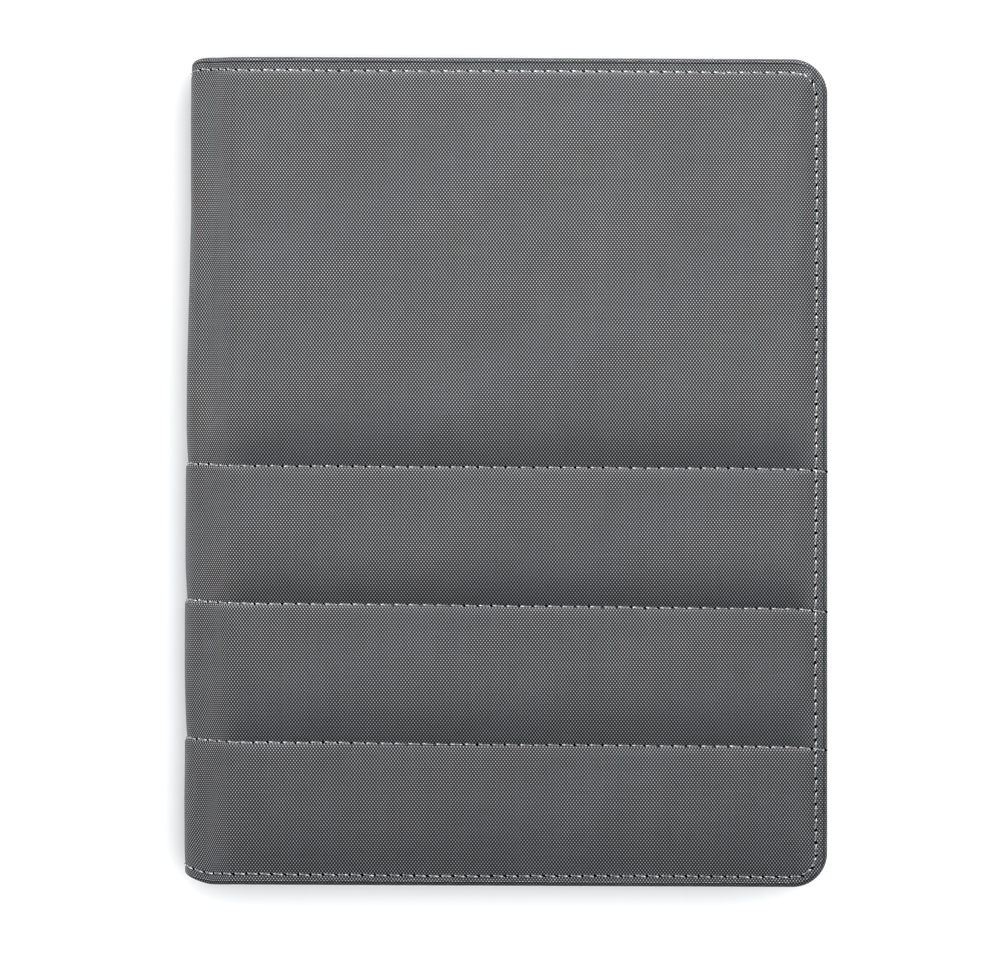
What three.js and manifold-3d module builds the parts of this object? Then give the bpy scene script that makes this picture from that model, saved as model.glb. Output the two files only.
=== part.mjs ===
// Passport holder wallet with a quilted soft cover, closed and lying on its back cover.
// Millimetres. +Z is up, +Y points to the head of the wallet and the spine runs along the -X side.
import * as THREE from 'three';
import { mergeVertices } from 'three/addons/utils/BufferGeometryUtils.js';
import Module from 'manifold-3d';

const wasm = await Module();
wasm.setup();

// Overall size of the closed wallet.
const WIDTH = 112;
const HEIGHT = 144;
const THICKNESS = 16;
const CORNER_RADIUS = 6;

// Sewing lines.
const STITCH_MARGIN = 2.2;
const STITCH_CORNER_RADIUS = 1.5;
const FIRST_SEAM_DROP = 71.2;
const CHANNEL_PITCH = 24.1;
const SEAM_COUNT = 3;
const THREAD_WIDTH = 0.35;
const THREAD_DEPTH = 0.18;

// Padding relief: how far the cloth sinks below the crest of the padding, and how wide its slopes are.
const BORDER_SINK = 2;
const BORDER_BAND = 2.7;
const EDGE_SLOPE = 5.7;
const HEAD_SLOPE = 5;
const SEAM_RISE = 2.8;
const CHANNEL_FALL = 8.5;
const PANEL_FALL = 13;
const SPINE_SEAM_SHARE = 0.2;
const GROOVE_HALF_WIDTH = 0.45;
const GROOVE_SINK = 0.25;
const GROOVE_WALL = 0.02;

// Layers, as [outer, inner] depths below the crest of the padding.
const CLOTH = 0.45;
const LAYER_GAP = 0.1;
const WADDING_FLOOR = BORDER_SINK + GROOVE_SINK + CLOTH;
const STIFFENER = [2.8, 3.2];
const LINING = [3.3, 3.6];
const POCKET = [3.7, 4];
const CARD_POCKET_TOP = 4.1;
const CARD_POCKET_CLOTH = 0.2;
const TURNED_EDGE = [BORDER_SINK + GROOVE_SINK + LAYER_GAP / 2, 3.65];
const TURNED_EDGE_WIDTH = 0.5;
const LAYER_INSET = 0.8;

// Pockets.
const POCKET_MOUTH_FROM_SPINE = 8.7;
const HEM_WIDTH = 4;
const CARD_SLOT_COUNT = 3;
const CARD_SLOT_STEP = 13;
const CARD_SLOT_FIRST_TOP = 58;
const CARD_WIDTH = 92;

// Folding: the spine is a half roll with a fold line at each of its 45 degree points.
const FOLD_CLEARANCE = 0.3;
const ROLL_RADIUS = THICKNESS / 2;
const ROLL_X = -WIDTH / 2 + ROLL_RADIUS;
const ROLL_Z = THICKNESS / 2;
const ROLL_GIRTH = Math.PI * ROLL_RADIUS / 2;
const FOLD_GIRTH = ROLL_GIRTH / 2;
const FORE_GIRTH = ROLL_GIRTH + WIDTH - ROLL_RADIUS;

const HEAD = HEIGHT / 2;
const SEAMS = Array.from({ length: SEAM_COUNT }, (_, k) => HEAD - FIRST_SEAM_DROP - k * CHANNEL_PITCH);

// The stuffed panels from head to tail, each between the sewing lines above and below it.
const PANELS = Array.from({ length: SEAM_COUNT + 1 }, (_, k) => ({
  top: k === 0 ? HEAD - BORDER_BAND : SEAMS[k - 1] - GROOVE_HALF_WIDTH,
  bottom: k === SEAM_COUNT ? BORDER_BAND - HEAD : SEAMS[k] + GROOVE_HALF_WIDTH,
  rise: k === 0 ? HEAD_SLOPE : SEAM_RISE,
  fall: k === 0 ? PANEL_FALL : k === SEAM_COUNT ? HEAD_SLOPE : CHANNEL_FALL,
}));

const CLOTH_LOOK = { color: 0x57595a, roughness: 0.85, metalness: 0 };
const LINING_LOOK = { color: 0x2b2d2f, roughness: 0.8, metalness: 0 };
const WADDING_LOOK = { color: 0xe4e3df, roughness: 0.95, metalness: 0 };
const BOARD_LOOK = { color: 0x8d8f90, roughness: 0.7, metalness: 0 };
const THREAD_LOOK = { color: 0xd8d9da, roughness: 0.6, metalness: 0 };

// A quarter sine from 0 at distance 0 to 1 at the given length: the slope of a stuffed panel.
function swell(distance, length) {
  const share = THREE.MathUtils.clamp(distance / length, 0, 1);
  return Math.sin(share * Math.PI / 2);
}

function steps(from, to, count) {
  return Array.from({ length: count + 1 }, (_, k) => from + (to - from) * k / count);
}

// The section is one strip wrapped round the spine. girth runs along the crest surface from the
// back cover's fore edge (negative) to the front cover's (positive), 0 is the middle of the spine,
// and depth runs inwards from the crest.
function place(girth, y, depth) {
  const reach = ROLL_RADIUS - depth;
  const past = Math.abs(girth) - ROLL_GIRTH;
  if (past > 0) {
    return [ROLL_X + past, y, ROLL_Z + Math.sign(girth) * reach];
  }
  const angle = Math.PI - girth / ROLL_RADIUS;
  return [ROLL_X + reach * Math.cos(angle), y, ROLL_Z + reach * Math.sin(angle)];
}

// A closed solid from two grids of points, the outer and the inner skin, joined round their rims.
function gridSolid(columns, rows, outer, inner) {
  const positions = [];
  for (const skin of [outer, inner]) {
    for (let i = 0; i < columns; i += 1) {
      for (let j = 0; j < rows; j += 1) {
        positions.push(...skin(i, j));
      }
    }
  }
  const at = (layer, i, j) => (layer * columns + i) * rows + j;
  const faces = [];
  const quad = (a, b, c, d) => faces.push(a, b, c, a, c, d);
  const lastColumn = columns - 1;
  const lastRow = rows - 1;
  for (let i = 0; i < lastColumn; i += 1) {
    for (let j = 0; j < lastRow; j += 1) {
      quad(at(0, i, j), at(0, i + 1, j), at(0, i + 1, j + 1), at(0, i, j + 1));
      quad(at(1, i, j), at(1, i, j + 1), at(1, i + 1, j + 1), at(1, i + 1, j));
    }
    quad(at(1, i, 0), at(1, i + 1, 0), at(0, i + 1, 0), at(0, i, 0));
    quad(at(0, i, lastRow), at(0, i + 1, lastRow), at(1, i + 1, lastRow), at(1, i, lastRow));
  }
  for (let j = 0; j < lastRow; j += 1) {
    quad(at(1, 0, j), at(0, 0, j), at(0, 0, j + 1), at(1, 0, j + 1));
    quad(at(0, lastColumn, j), at(1, lastColumn, j), at(1, lastColumn, j + 1), at(0, lastColumn, j + 1));
  }
  const geometry = new THREE.BufferGeometry();
  geometry.setAttribute('position', new THREE.Float32BufferAttribute(positions, 3));
  geometry.setIndex(faces);
  return geometry;
}

// A layer of the strip, between two depths that may change along it.
function sheetSolid(girths, heights, outerDepth, innerDepth) {
  const skin = (depth) => (i, j) => place(girths[i], heights[j], depth(girths[i], heights[j]));
  return gridSolid(girths.length, heights.length, skin(outerDepth), skin(innerDepth));
}

function flatSheet(girths, heights, [outer, inner]) {
  return sheetSolid(girths, heights, () => outer, () => inner);
}

function toManifold(geometry) {
  const bare = geometry.clone();
  bare.deleteAttribute('normal');
  bare.deleteAttribute('uv');
  const merged = mergeVertices(bare, 1e-5);
  const vertProperties = Float32Array.from(merged.attributes.position.array);
  const triVerts = Uint32Array.from(merged.index.array);
  return new wasm.Manifold(new wasm.Mesh({ numProp: 3, vertProperties, triVerts }));
}

function toGeometry(manifold) {
  const mesh = manifold.getMesh();
  const geometry = new THREE.BufferGeometry();
  geometry.setAttribute('position', new THREE.BufferAttribute(mesh.vertProperties, 3));
  geometry.setIndex(new THREE.BufferAttribute(mesh.triVerts, 1));
  return geometry;
}

// The cover's outline as a tall block, its fore corners rounded, inset from the edge.
function outlineBlock(inset, spineX, low, high) {
  const radius = CORNER_RADIUS - inset;
  const fore = WIDTH / 2 - inset;
  const head = HEAD - inset;
  const shape = new THREE.Shape();
  shape.moveTo(spineX, -head);
  shape.lineTo(fore - radius, -head);
  shape.absarc(fore - radius, radius - head, radius, -Math.PI / 2, 0, false);
  shape.lineTo(fore, head - radius);
  shape.absarc(fore - radius, head - radius, radius, 0, Math.PI / 2, false);
  shape.lineTo(spineX, head);
  shape.closePath();
  const block = new THREE.ExtrudeGeometry(shape, { depth: high - low, bevelEnabled: false, curveSegments: 8 });
  return block.translate(0, 0, low);
}

function trimmed(geometry, inset) {
  const block = toManifold(outlineBlock(inset, -WIDTH, -THICKNESS, 2 * THICKNESS));
  return toGeometry(toManifold(geometry).intersect(block));
}

// How far the seams pinch the padding: fully on the covers, less where the cloth is stretched
// round the spine.
function seamShare(girth) {
  const alongRoll = THREE.MathUtils.clamp((Math.abs(girth) - FOLD_GIRTH) / FOLD_GIRTH, 0, 1);
  return THREE.MathUtils.lerp(SPINE_SEAM_SHARE, 1, alongRoll);
}

function seamSwell(y) {
  return SEAMS.reduce((least, seam, k) => {
    const length = y < seam ? SEAM_RISE : PANELS[k].fall;
    return Math.min(least, swell(Math.abs(y - seam) - GROOVE_HALF_WIDTH, length));
  }, 1);
}

function inGroove(y) {
  return SEAMS.some((seam) => Math.abs(y - seam) < GROOVE_HALF_WIDTH - GROOVE_WALL / 2);
}

// Depth of the cloth's outer face.
function clothDepth(girth, y) {
  const fromHead = swell(HEAD - BORDER_BAND - Math.abs(y), HEAD_SLOPE);
  const fromFore = swell(FORE_GIRTH - BORDER_BAND - Math.abs(girth), EDGE_SLOPE);
  const pinched = 1 - seamShare(girth) * (1 - seamSwell(y));
  const groove = inGroove(y) ? GROOVE_SINK : 0;
  return BORDER_SINK * (1 - fromHead * fromFore * pinched) + groove;
}

// Stations along the height of a panel, from tail to head.
function panelHeights({ top, bottom, rise, fall }) {
  return [...steps(bottom, bottom + fall, 4), ...steps(top - rise, top, 3)];
}

function clothHeights() {
  const floor = GROOVE_HALF_WIDTH - GROOVE_WALL;
  const grooves = SEAMS.flatMap((seam) => [seam - floor, seam + floor]);
  return [-HEAD, ...PANELS.flatMap(panelHeights), ...grooves, HEAD].sort((a, b) => a - b);
}

// Girths of one cover from its fold line to a stop short of its fore edge.
function coverGirths(side, foreInset) {
  const roll = steps(FOLD_GIRTH + FOLD_CLEARANCE / 2, ROLL_GIRTH, 3);
  const slopeEnd = FORE_GIRTH - BORDER_BAND;
  const slope = steps(slopeEnd - EDGE_SLOPE, slopeEnd, 3);
  const end = FORE_GIRTH - foreInset;
  const girths = [...roll, ...slope.filter((girth) => girth < end - 0.01), end];
  return side > 0 ? girths : girths.map((girth) => -girth).reverse();
}

function spineGirths() {
  const end = FOLD_GIRTH - FOLD_CLEARANCE / 2;
  return steps(-end, end, 6);
}

// The cloth turned over the edge at the head and the tail, along the given girths.
function turnedEnds(girths) {
  const upper = flatSheet(girths, [HEAD - TURNED_EDGE_WIDTH, HEAD], TURNED_EDGE);
  const lower = flatSheet(girths, [-HEAD, TURNED_EDGE_WIDTH - HEAD], TURNED_EDGE);
  return toManifold(upper).add(toManifold(lower));
}

function coverCloth(side) {
  const girths = coverGirths(side, 0);
  const roll = girths.filter((girth) => Math.abs(girth) <= ROLL_GIRTH);
  const innerDepth = (girth, y) => clothDepth(girth, y) + CLOTH;
  const shell = toManifold(trimmed(sheetSolid(girths, clothHeights(), clothDepth, innerDepth), 0));
  const ends = TURNED_EDGE.map((depth) => ROLL_Z + side * (ROLL_RADIUS - depth));
  const low = Math.min(...ends);
  const high = Math.max(...ends);
  const rim = toManifold(outlineBlock(0, ROLL_X, low, high));
  const inside = toManifold(outlineBlock(TURNED_EDGE_WIDTH, ROLL_X - 1, low - 1, high + 1));
  return toGeometry(shell.add(rim.subtract(inside)).add(turnedEnds(roll)));
}

function spineCloth() {
  const girths = spineGirths();
  const innerDepth = (girth, y) => clothDepth(girth, y) + CLOTH;
  const shell = toManifold(sheetSolid(girths, clothHeights(), clothDepth, innerDepth));
  return toGeometry(shell.add(turnedEnds(girths)));
}

// The wadding of a panel fills the room between the cloth and the layer below it.
function wadding(girths, panel) {
  const heights = panelHeights(panel);
  heights[0] += 2 * LAYER_GAP;
  heights[heights.length - 1] -= 2 * LAYER_GAP;
  const outerDepth = (girth, y) => clothDepth(girth, y) + CLOTH + LAYER_GAP;
  return sheetSolid(girths, heights, outerDepth, () => WADDING_FLOOR);
}

function quiltThread(girths, k) {
  const half = THREAD_WIDTH / 2;
  const floor = (girth) => clothDepth(girth, SEAMS[k]) - LAYER_GAP / 4;
  return sheetSolid(girths, [SEAMS[k] - half, SEAMS[k] + half], (girth) => floor(girth) - THREAD_DEPTH, floor);
}

const BORDER_THREAD = [BORDER_SINK - THREAD_DEPTH - LAYER_GAP / 4, BORDER_SINK - LAYER_GAP / 4];

// One edge of the perimeter thread, from the fold line round both fore corners and back.
function perimeterLine(inset, side) {
  const radius = STITCH_CORNER_RADIUS + STITCH_MARGIN - inset;
  const fore = FORE_GIRTH - inset;
  const head = HEAD - inset;
  const corner = (start, centreY) => steps(start, start - Math.PI / 2, 5).map((angle) => [
    fore - radius + radius * Math.cos(angle),
    centreY + radius * Math.sin(angle),
  ]);
  const roll = steps(FOLD_GIRTH + FOLD_CLEARANCE / 2, ROLL_GIRTH, 3);
  const line = [
    ...roll.map((girth) => [girth, head]),
    ...corner(Math.PI / 2, head - radius),
    ...corner(0, radius - head),
    ...roll.map((girth) => [girth, -head]).reverse(),
  ];
  return side > 0 ? line : line.map(([girth, y]) => [-girth, y]).reverse();
}

function perimeterThread(side) {
  const half = THREAD_WIDTH / 2;
  const lines = [perimeterLine(STITCH_MARGIN + half, side), perimeterLine(STITCH_MARGIN - half, side)];
  const skin = (depth) => (i, j) => place(...lines[j][i], depth);
  return gridSolid(lines[0].length, 2, skin(BORDER_THREAD[0]), skin(BORDER_THREAD[1]));
}

function spineEndThread(side) {
  const y = side * (HEAD - STITCH_MARGIN);
  const half = THREAD_WIDTH / 2;
  return flatSheet(spineGirths(), [y - half, y + half], BORDER_THREAD);
}

function girthAt(x) {
  return ROLL_GIRTH + x - ROLL_X;
}

// A flat panel inside a cover, between two x stations and two heights.
function innerPanel(side, fromX, toX, low, high, depths) {
  const girths = [girthAt(fromX), girthAt(toX)];
  const ordered = side > 0 ? girths : girths.map((girth) => -girth).reverse();
  return trimmed(flatSheet(ordered, [low, high], depths), LAYER_INSET);
}

function lining(side) {
  return trimmed(flatSheet(coverGirths(side, 0), [-HEAD, HEAD], LINING), LAYER_INSET);
}

function node(name, geometry, look) {
  const solid = geometry.index ? geometry.toNonIndexed() : geometry;
  solid.computeVertexNormals();
  const mesh = new THREE.Mesh(solid, new THREE.MeshStandardMaterial(look));
  mesh.name = name;
  return mesh;
}

const POCKET_MOUTH_X = -WIDTH / 2 + POCKET_MOUTH_FROM_SPINE;
const POCKET_HEAD = HEAD - LAYER_INSET;

function coverNodes(side, title) {
  const group = new THREE.Group();
  group.add(node(`${title}_outer_fabric`, coverCloth(side), CLOTH_LOOK));
  PANELS.forEach((panel, k) => {
    const pad = wadding(coverGirths(side, BORDER_BAND + 2 * LAYER_GAP), panel);
    group.add(node(`${title}_wadding_${k + 1}`, pad, WADDING_LOOK));
  });
  const board = innerPanel(side, ROLL_X + 1, WIDTH / 2, -HEAD, HEAD, STIFFENER);
  group.add(node(`${title}_stiffener`, board, BOARD_LOOK));
  group.add(node(`${title}_lining`, lining(side), LINING_LOOK));
  group.add(node(`${title}_perimeter_thread`, perimeterThread(side), THREAD_LOOK));
  SEAMS.forEach((_, k) => {
    group.add(node(`${title}_quilt_thread_${k + 1}`, quiltThread(coverGirths(side, 0), k), THREAD_LOOK));
  });
  return group;
}

// A full-height pocket with its mouth towards the spine and a bound mouth.
function sidePocket(side, title) {
  const group = new THREE.Group();
  const hemEnd = POCKET_MOUTH_X + HEM_WIDTH;
  const head = POCKET_HEAD;
  const hem = innerPanel(side, POCKET_MOUTH_X, hemEnd, -head, head, POCKET);
  const panel = innerPanel(side, hemEnd + LAYER_GAP, WIDTH / 2, -head, head, POCKET);
  group.add(node(title, panel, LINING_LOOK));
  group.add(node(`${title}_hem`, hem, LINING_LOOK));
  return group;
}

// Card slots stepped down the front cover's inside, each mouth bound and facing the head.
function cardSlots() {
  const group = new THREE.Group();
  const toX = WIDTH / 2;
  const fromX = toX - CARD_WIDTH;
  for (let k = 0; k < CARD_SLOT_COUNT; k += 1) {
    const outer = CARD_POCKET_TOP + k * (CARD_POCKET_CLOTH + LAYER_GAP);
    const depths = [outer, outer + CARD_POCKET_CLOTH];
    const mouth = CARD_SLOT_FIRST_TOP - HEAD - k * CARD_SLOT_STEP + CARD_SLOT_STEP * CARD_SLOT_COUNT;
    const hemFoot = mouth - HEM_WIDTH;
    const panel = innerPanel(1, fromX, toX, -POCKET_HEAD, hemFoot - LAYER_GAP, depths);
    const hem = innerPanel(1, fromX, toX, hemFoot, mouth, depths);
    group.add(node(`card_pocket_${k + 1}`, panel, LINING_LOOK));
    group.add(node(`card_pocket_hem_${k + 1}`, hem, LINING_LOOK));
  }
  return group;
}

function spineNodes() {
  const group = new THREE.Group();
  group.add(node('spine_outer_fabric', spineCloth(), CLOTH_LOOK));
  PANELS.forEach((panel, k) => {
    group.add(node(`spine_wadding_${k + 1}`, wadding(spineGirths(), panel), WADDING_LOOK));
  });
  const ends = HEAD - LAYER_INSET;
  group.add(node('spine_lining', flatSheet(spineGirths(), [-ends, ends], LINING), LINING_LOOK));
  SEAMS.forEach((_, k) => {
    group.add(node(`spine_quilt_thread_${k + 1}`, quiltThread(spineGirths(), k), THREAD_LOOK));
  });
  group.add(node('spine_head_thread', spineEndThread(1), THREAD_LOOK));
  group.add(node('spine_tail_thread', spineEndThread(-1), THREAD_LOOK));
  return group;
}

const wallet = new THREE.Group();
wallet.add(coverNodes(-1, 'back'), sidePocket(-1, 'passport_sleeve'));
wallet.add(spineNodes());
wallet.add(coverNodes(1, 'front'), sidePocket(1, 'slip_pocket'), cardSlots());

export default wallet;
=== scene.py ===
"""A quilted passport holder wallet, lying closed on a pale floor.

The wallet's section is one strip wrapped round the spine. Every soft piece is drawn on that strip, in
millimetres, and then placed: `girth` runs along the crest of the padding from the back cover's fore edge
(negative) through the middle of the spine (0) to the front cover's fore edge (positive), `y` runs from tail
to head, and `depth` runs inwards from the crest.
"""
import math

import bpy
import numpy as np
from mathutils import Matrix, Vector


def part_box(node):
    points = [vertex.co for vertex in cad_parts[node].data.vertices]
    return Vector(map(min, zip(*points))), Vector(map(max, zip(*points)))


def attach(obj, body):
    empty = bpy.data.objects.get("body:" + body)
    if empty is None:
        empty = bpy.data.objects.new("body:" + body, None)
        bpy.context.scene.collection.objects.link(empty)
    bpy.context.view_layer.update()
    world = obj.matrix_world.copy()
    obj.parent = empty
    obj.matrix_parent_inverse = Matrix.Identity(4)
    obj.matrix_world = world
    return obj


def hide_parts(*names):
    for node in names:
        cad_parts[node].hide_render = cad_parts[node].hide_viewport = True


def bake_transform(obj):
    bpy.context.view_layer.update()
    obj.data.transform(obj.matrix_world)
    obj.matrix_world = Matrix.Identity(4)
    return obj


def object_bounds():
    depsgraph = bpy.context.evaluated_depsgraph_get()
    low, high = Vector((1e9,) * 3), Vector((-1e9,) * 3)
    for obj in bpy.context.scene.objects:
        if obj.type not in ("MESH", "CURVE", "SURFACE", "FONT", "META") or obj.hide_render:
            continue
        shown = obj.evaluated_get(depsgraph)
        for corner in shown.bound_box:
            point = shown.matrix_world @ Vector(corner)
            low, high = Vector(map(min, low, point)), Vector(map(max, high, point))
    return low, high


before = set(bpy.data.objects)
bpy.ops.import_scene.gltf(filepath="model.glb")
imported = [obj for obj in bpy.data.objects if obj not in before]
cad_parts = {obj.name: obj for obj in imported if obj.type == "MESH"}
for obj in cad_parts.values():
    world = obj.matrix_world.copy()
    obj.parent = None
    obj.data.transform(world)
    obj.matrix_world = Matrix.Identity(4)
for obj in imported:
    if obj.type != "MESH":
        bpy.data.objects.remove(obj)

cad_low, cad_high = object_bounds()

# ---------------------------------------- sizes taken from the frame
MM = 0.001
HALF_WIDTH = (cad_high.x - cad_low.x) / 2 / MM
HEAD = cad_high.y / MM
THICKNESS = (cad_high.z - cad_low.z) / MM
ROLL = THICKNESS / 2
ROLL_X = cad_low.x / MM + ROLL
ROLL_GIRTH = math.pi / 2 * ROLL
FORE = ROLL_GIRTH + HALF_WIDTH - ROLL_X


def node_heights(node):
    """The middle and the top of a frame node along y."""
    low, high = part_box(node)
    return (low.y + high.y) / 2 / MM, high.y / MM


SEAMS = [node_heights(f"front_quilt_thread_{k}")[0] for k in (1, 2, 3)]


def girth_of(x):
    """Girth of a place on the flat of a cover."""
    return ROLL_GIRTH + x - ROLL_X


MOUTH = girth_of(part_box("slip_pocket")[0].x / MM)
CARD_MOUTHS = [node_heights(f"card_pocket_{k}")[1] for k in (1, 2, 3)]
CARD_SIDE = girth_of(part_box("card_pocket_1")[0].x / MM)

# ---------------------------------------- the cover's cut and sewing
CORNER = 6.0
EDGE_ROLL = 0.72
# What is turned in behind the edge, as (width, extra depth), and the hem that the turn and this take up.
TURNED_IN = ((0.5, -0.12), (1.2, -0.22), (3.0, -0.3))
# Each half's shell and lining runs a little past the middle of the spine, under the other half's.
OVERLAP = 0.6
OVERLAP_SINK = 0.05
HEAD_MARGIN = 2.4
FORE_MARGIN = 2.0
TAIL_MARGIN = 1.8
STITCH_CORNER = 3.6
PERIMETER_PITCH = 2.25
QUILT_PITCH = 2.42
SEAM_TILTS = (-0.15, -0.75, -0.6)
SEAM_END_DROP = 0.4
# A hand-fed row strays from its line: at the spine, by a wander, and by a jitter of each needle hole.
HEAD_ROW_STRAY = 0.3
TAIL_ROW_STRAY = 0.35
END_ROW_WANDER = 0.06
FORE_ROW_WANDER = 0.1
HOLE_JITTER = 0.035

# Padding relief. SINK is how deep the sewing draws the cloth in. A panel droops to the line on its tail side,
# in the shape of an error function, and springs up sharply from the line on its head side.
SINK = 2.5
HEAD_SINK_SHARE = 0.6
DROOPS = (7.2, 6.0, 6.8, 9.0)
SPRING_SHARE = 0.97
SPRING_NEAR = 0.25
SPRING_FAR = 4.0
FORE_SLOPE = 4.6
# Round the spine the seams and edges sink only by these shares, and each panel has a swollen shoulder.
SPINE_SEAM_SHARE = 0.16
SPINE_EDGE_SHARE = 0.08
SPINE_TAPER = 0.75
SPINE_TAPER_RUN = 46
SPINE_FADE_PAST = 2.4
SPINE_FADE_SHARE = 0.8
SHOULDER_GIRTH = 8.6
SHOULDER_POWER = 6
SHOULDER_PANEL = 2.6
SHOULDER_CHANNELS = 1.7
SHOULDER_BASE = 0.25
SHOULDER_CHANGE = 12
# How far a panel's crest lies inside the frame's box, and the sewn border's middle inside the edge.
CREST_DEPTH = 0.1
BORDER_MIDDLE = 0.9
# A row lies in a narrow groove, between small puckers and needle dimples.
ROW_LAND = 0.1
GROOVE_DEPTH = 0.15
GROOVE_HALF_WIDTH = 0.4
PUCKER = 0.03
PUCKER_REACH = 1.4
PUCKER_START = 0.6
HOLE_DIMPLE = 0.14
DIMPLE_RADIUS = 0.4
# The cloth's own unevenness, as (height, wave length).
SLOW_WAVE = (0.05, 34)
SHORT_WAVE = (0.015, 9)
SEAM_WAVE = (0.05, 26)
SEAM_START_RISE = 0.5
SEAM_START_SHARE = 0.12
SEAM_END_SHARE = 0.05

# The folded edges draw in a little round the spine.
HEAD_DRAW = 0.75
HEAD_DRAW_GIRTH = 5.5
HEAD_DRAW_RUN = 10
TAIL_DRAW = 1.35
TAIL_DRAW_GIRTH = 8.2
TAIL_DRAW_FADE = 7.4
TAIL_DRAW_RUN = 14
# The fore edge is cut a touch out of square.
CUT_SKEW = 0.3

# Inner layers, as depths of their seen faces.
LINING_DEPTH = 3.55
POCKET_DEPTH = 3.9
CARD_DEPTH = 4.2
CARD_STEP = 0.3
LINING_INSET = 0.95
LINING_FORE = FORE - LINING_INSET
LINING_HEAD = HEAD - LINING_INSET
PANEL_THICKNESS = 0.24
CARD_THICKNESS = 0.2
# Their unevenness as (height, wave length), their bow between rows, and how far the rows draw them in.
LINING_SLACK = (0.05, 24)
POCKET_SLACK = (0.06, 30)
CARD_SLACK = (0.04, 22)
POCKET_BOW = 0.16
POCKET_BOW_RUN = 60
CARD_BOW = 0.22
LINING_HOLD = 0.14
POCKET_HOLD = 0.13
CARD_HOLD = 0.08
# The lining is creased a little where the spine meets a cover, and seats on the shell's hem near its ends.
LINING_CREASE = 0.1
LINING_CREASE_WIDTH = 2.5
LINING_OVERLAP_LIFT = 0.03
HEM_GAP = 0.1
HEM_SEAT_REACH = 7.5
HEM_SEAT_FADE = 4
BINDING_WIDTH = 4.0
BINDING_BULK = 0.28
BINDING_NOSE = 0.26
BINDING_ROW = BINDING_WIDTH - 1.0
CARD_SIDE_ROW = CARD_SIDE + 1.2
INNER_ROW_MARGIN = 0.6
# A pocket's panel starts this far inside its binding's fold.
MOUTH_INSET = 0.4

# The wadding's flat face, its least gaps to the shell's face there and at its crest, its least thickness,
# and its distance from a row.
PAD_FLOOR = 2.72
PAD_FLOOR_GAP = 0.36
PAD_CREST_GAP = 0.26
PAD_LEAST = 0.1
PAD_MARGIN = 0.7

# Grid spacings of the shell, inner layers, padding and tapes.
SPACINGS = ((0.42, 1.0, 1.6, 0.56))
SHELL_STEP, PANEL_STEP, PAD_STEP, TAPE_STEP = SPACINGS

# Stitches, as plies of thread that dive into needle holes, each hole a dark fan of painted shade. The holes
# slant more than the stitches.
TUBE_SEGMENTS = 12
TUBE_SIDES = 6
PLIES = 2
PLY_TURNS = 2.1
STITCH_SLANT = 0.1
STITCH_LIFT = 0.1
STITCH_DIVE = 0.3
STITCH_ENDS = (0.03, 0.97)
STITCH_ROUNDING = 0.45
STITCH_UNEVENNESS = 0.12
SLANT_UNEVENNESS = 0.02
HOLE_SIDES = 10
HOLE_SLANT = 1.4
HOLE_RIM_LIFT = 0.03
HOLE_CENTRE_LIFT = 0.07


def smooth(t):
    """The smooth step from 0 to 1."""
    t = np.clip(t, 0, 1)
    return t * t * (3 - 2 * t)


def swell(distance, length):
    """The quarter sine that stuffed cloth makes beside a sewing line."""
    return np.sin(np.clip(distance / length, 0, 1) * np.pi / 2)


def droop(distance, reach):
    """The soft shoulder of a panel beside its lower sewing line, from 0 at the line to 1."""
    t = np.clip(distance, 0, None) / reach
    slope = 0.278393 * t + 0.230389 * t ** 2 + 0.000972 * t ** 3 + 0.078108 * t ** 4
    return 1 - 1 / (1 + slope) ** 4


def spring(distance):
    """The sharp rise of a panel below its upper sewing line, from 0 at the line to 1."""
    d = np.clip(distance, 0, None)
    near = 1 - np.exp(-(d / SPRING_NEAR) ** 1.5)
    return SPRING_SHARE * near + (1 - SPRING_SHARE) * (1 - np.exp(-d / SPRING_FAR))


def ripple(a, b, length, seed):
    """A smooth irregular field of about unit size, from a few fixed waves."""
    draws = np.random.default_rng(seed)
    total = np.zeros(np.broadcast(a, b).shape)
    for _ in range(5):
        angle = draws.uniform(0, 2 * np.pi)
        wave = length * draws.uniform(0.7, 1.6)
        phase = draws.uniform(0, 2 * np.pi)
        total = total + np.sin(2 * np.pi * (a * np.cos(angle) + b * np.sin(angle)) / wave + phase)
    return total / 2.5


def drawn(girth, y):
    """Height on the spine after the turned edges have drawn in where they are folded round it."""
    across = np.abs(girth)
    tail = smooth((TAIL_DRAW_GIRTH - across) / TAIL_DRAW_FADE) * smooth(1 - (HEAD + y) / TAIL_DRAW_RUN)
    head = smooth(1 - across / HEAD_DRAW_GIRTH) * smooth(1 - (HEAD - y) / HEAD_DRAW_RUN)
    return y + TAIL_DRAW * tail - HEAD_DRAW * head


def place(girth, y, depth):
    """Points of the strip, in the row frame, in millimetres."""
    girth, y, depth = np.broadcast_arrays(*(np.asarray(v, float) for v in (girth, y, depth)))
    reach = ROLL - depth
    past = np.abs(girth) - ROLL_GIRTH
    angle = np.pi - girth / ROLL
    on_cover = past > 0
    x = np.where(on_cover, ROLL_X + past, ROLL_X + reach * np.cos(angle))
    z = np.where(on_cover, ROLL + np.sign(girth) * reach, ROLL + reach * np.sin(angle))
    skew = CUT_SKEW * y / HEAD * np.clip(past, 0, None) / (FORE - ROLL_GIRTH)
    return np.stack([x - skew, drawn(girth, y), z], axis=-1)


def seam_line(k, girth):
    """Height of quilting seam k at a girth: nearly straight, with the hand-fed drift of a real seam."""
    along = np.abs(girth) / FORE
    drift = SEAM_TILTS[k] * (along - 0.5)
    end = SEAM_END_DROP * smooth(1 - (1 - along) / SEAM_END_SHARE)
    start = SEAM_START_RISE * smooth(1 - along / SEAM_START_SHARE)
    wave = SEAM_WAVE[0] * ripple(girth, np.zeros_like(girth) + 9.0 * k, SEAM_WAVE[1], 3 + k)
    return SEAMS[k] + drift - end + start + wave


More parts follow.
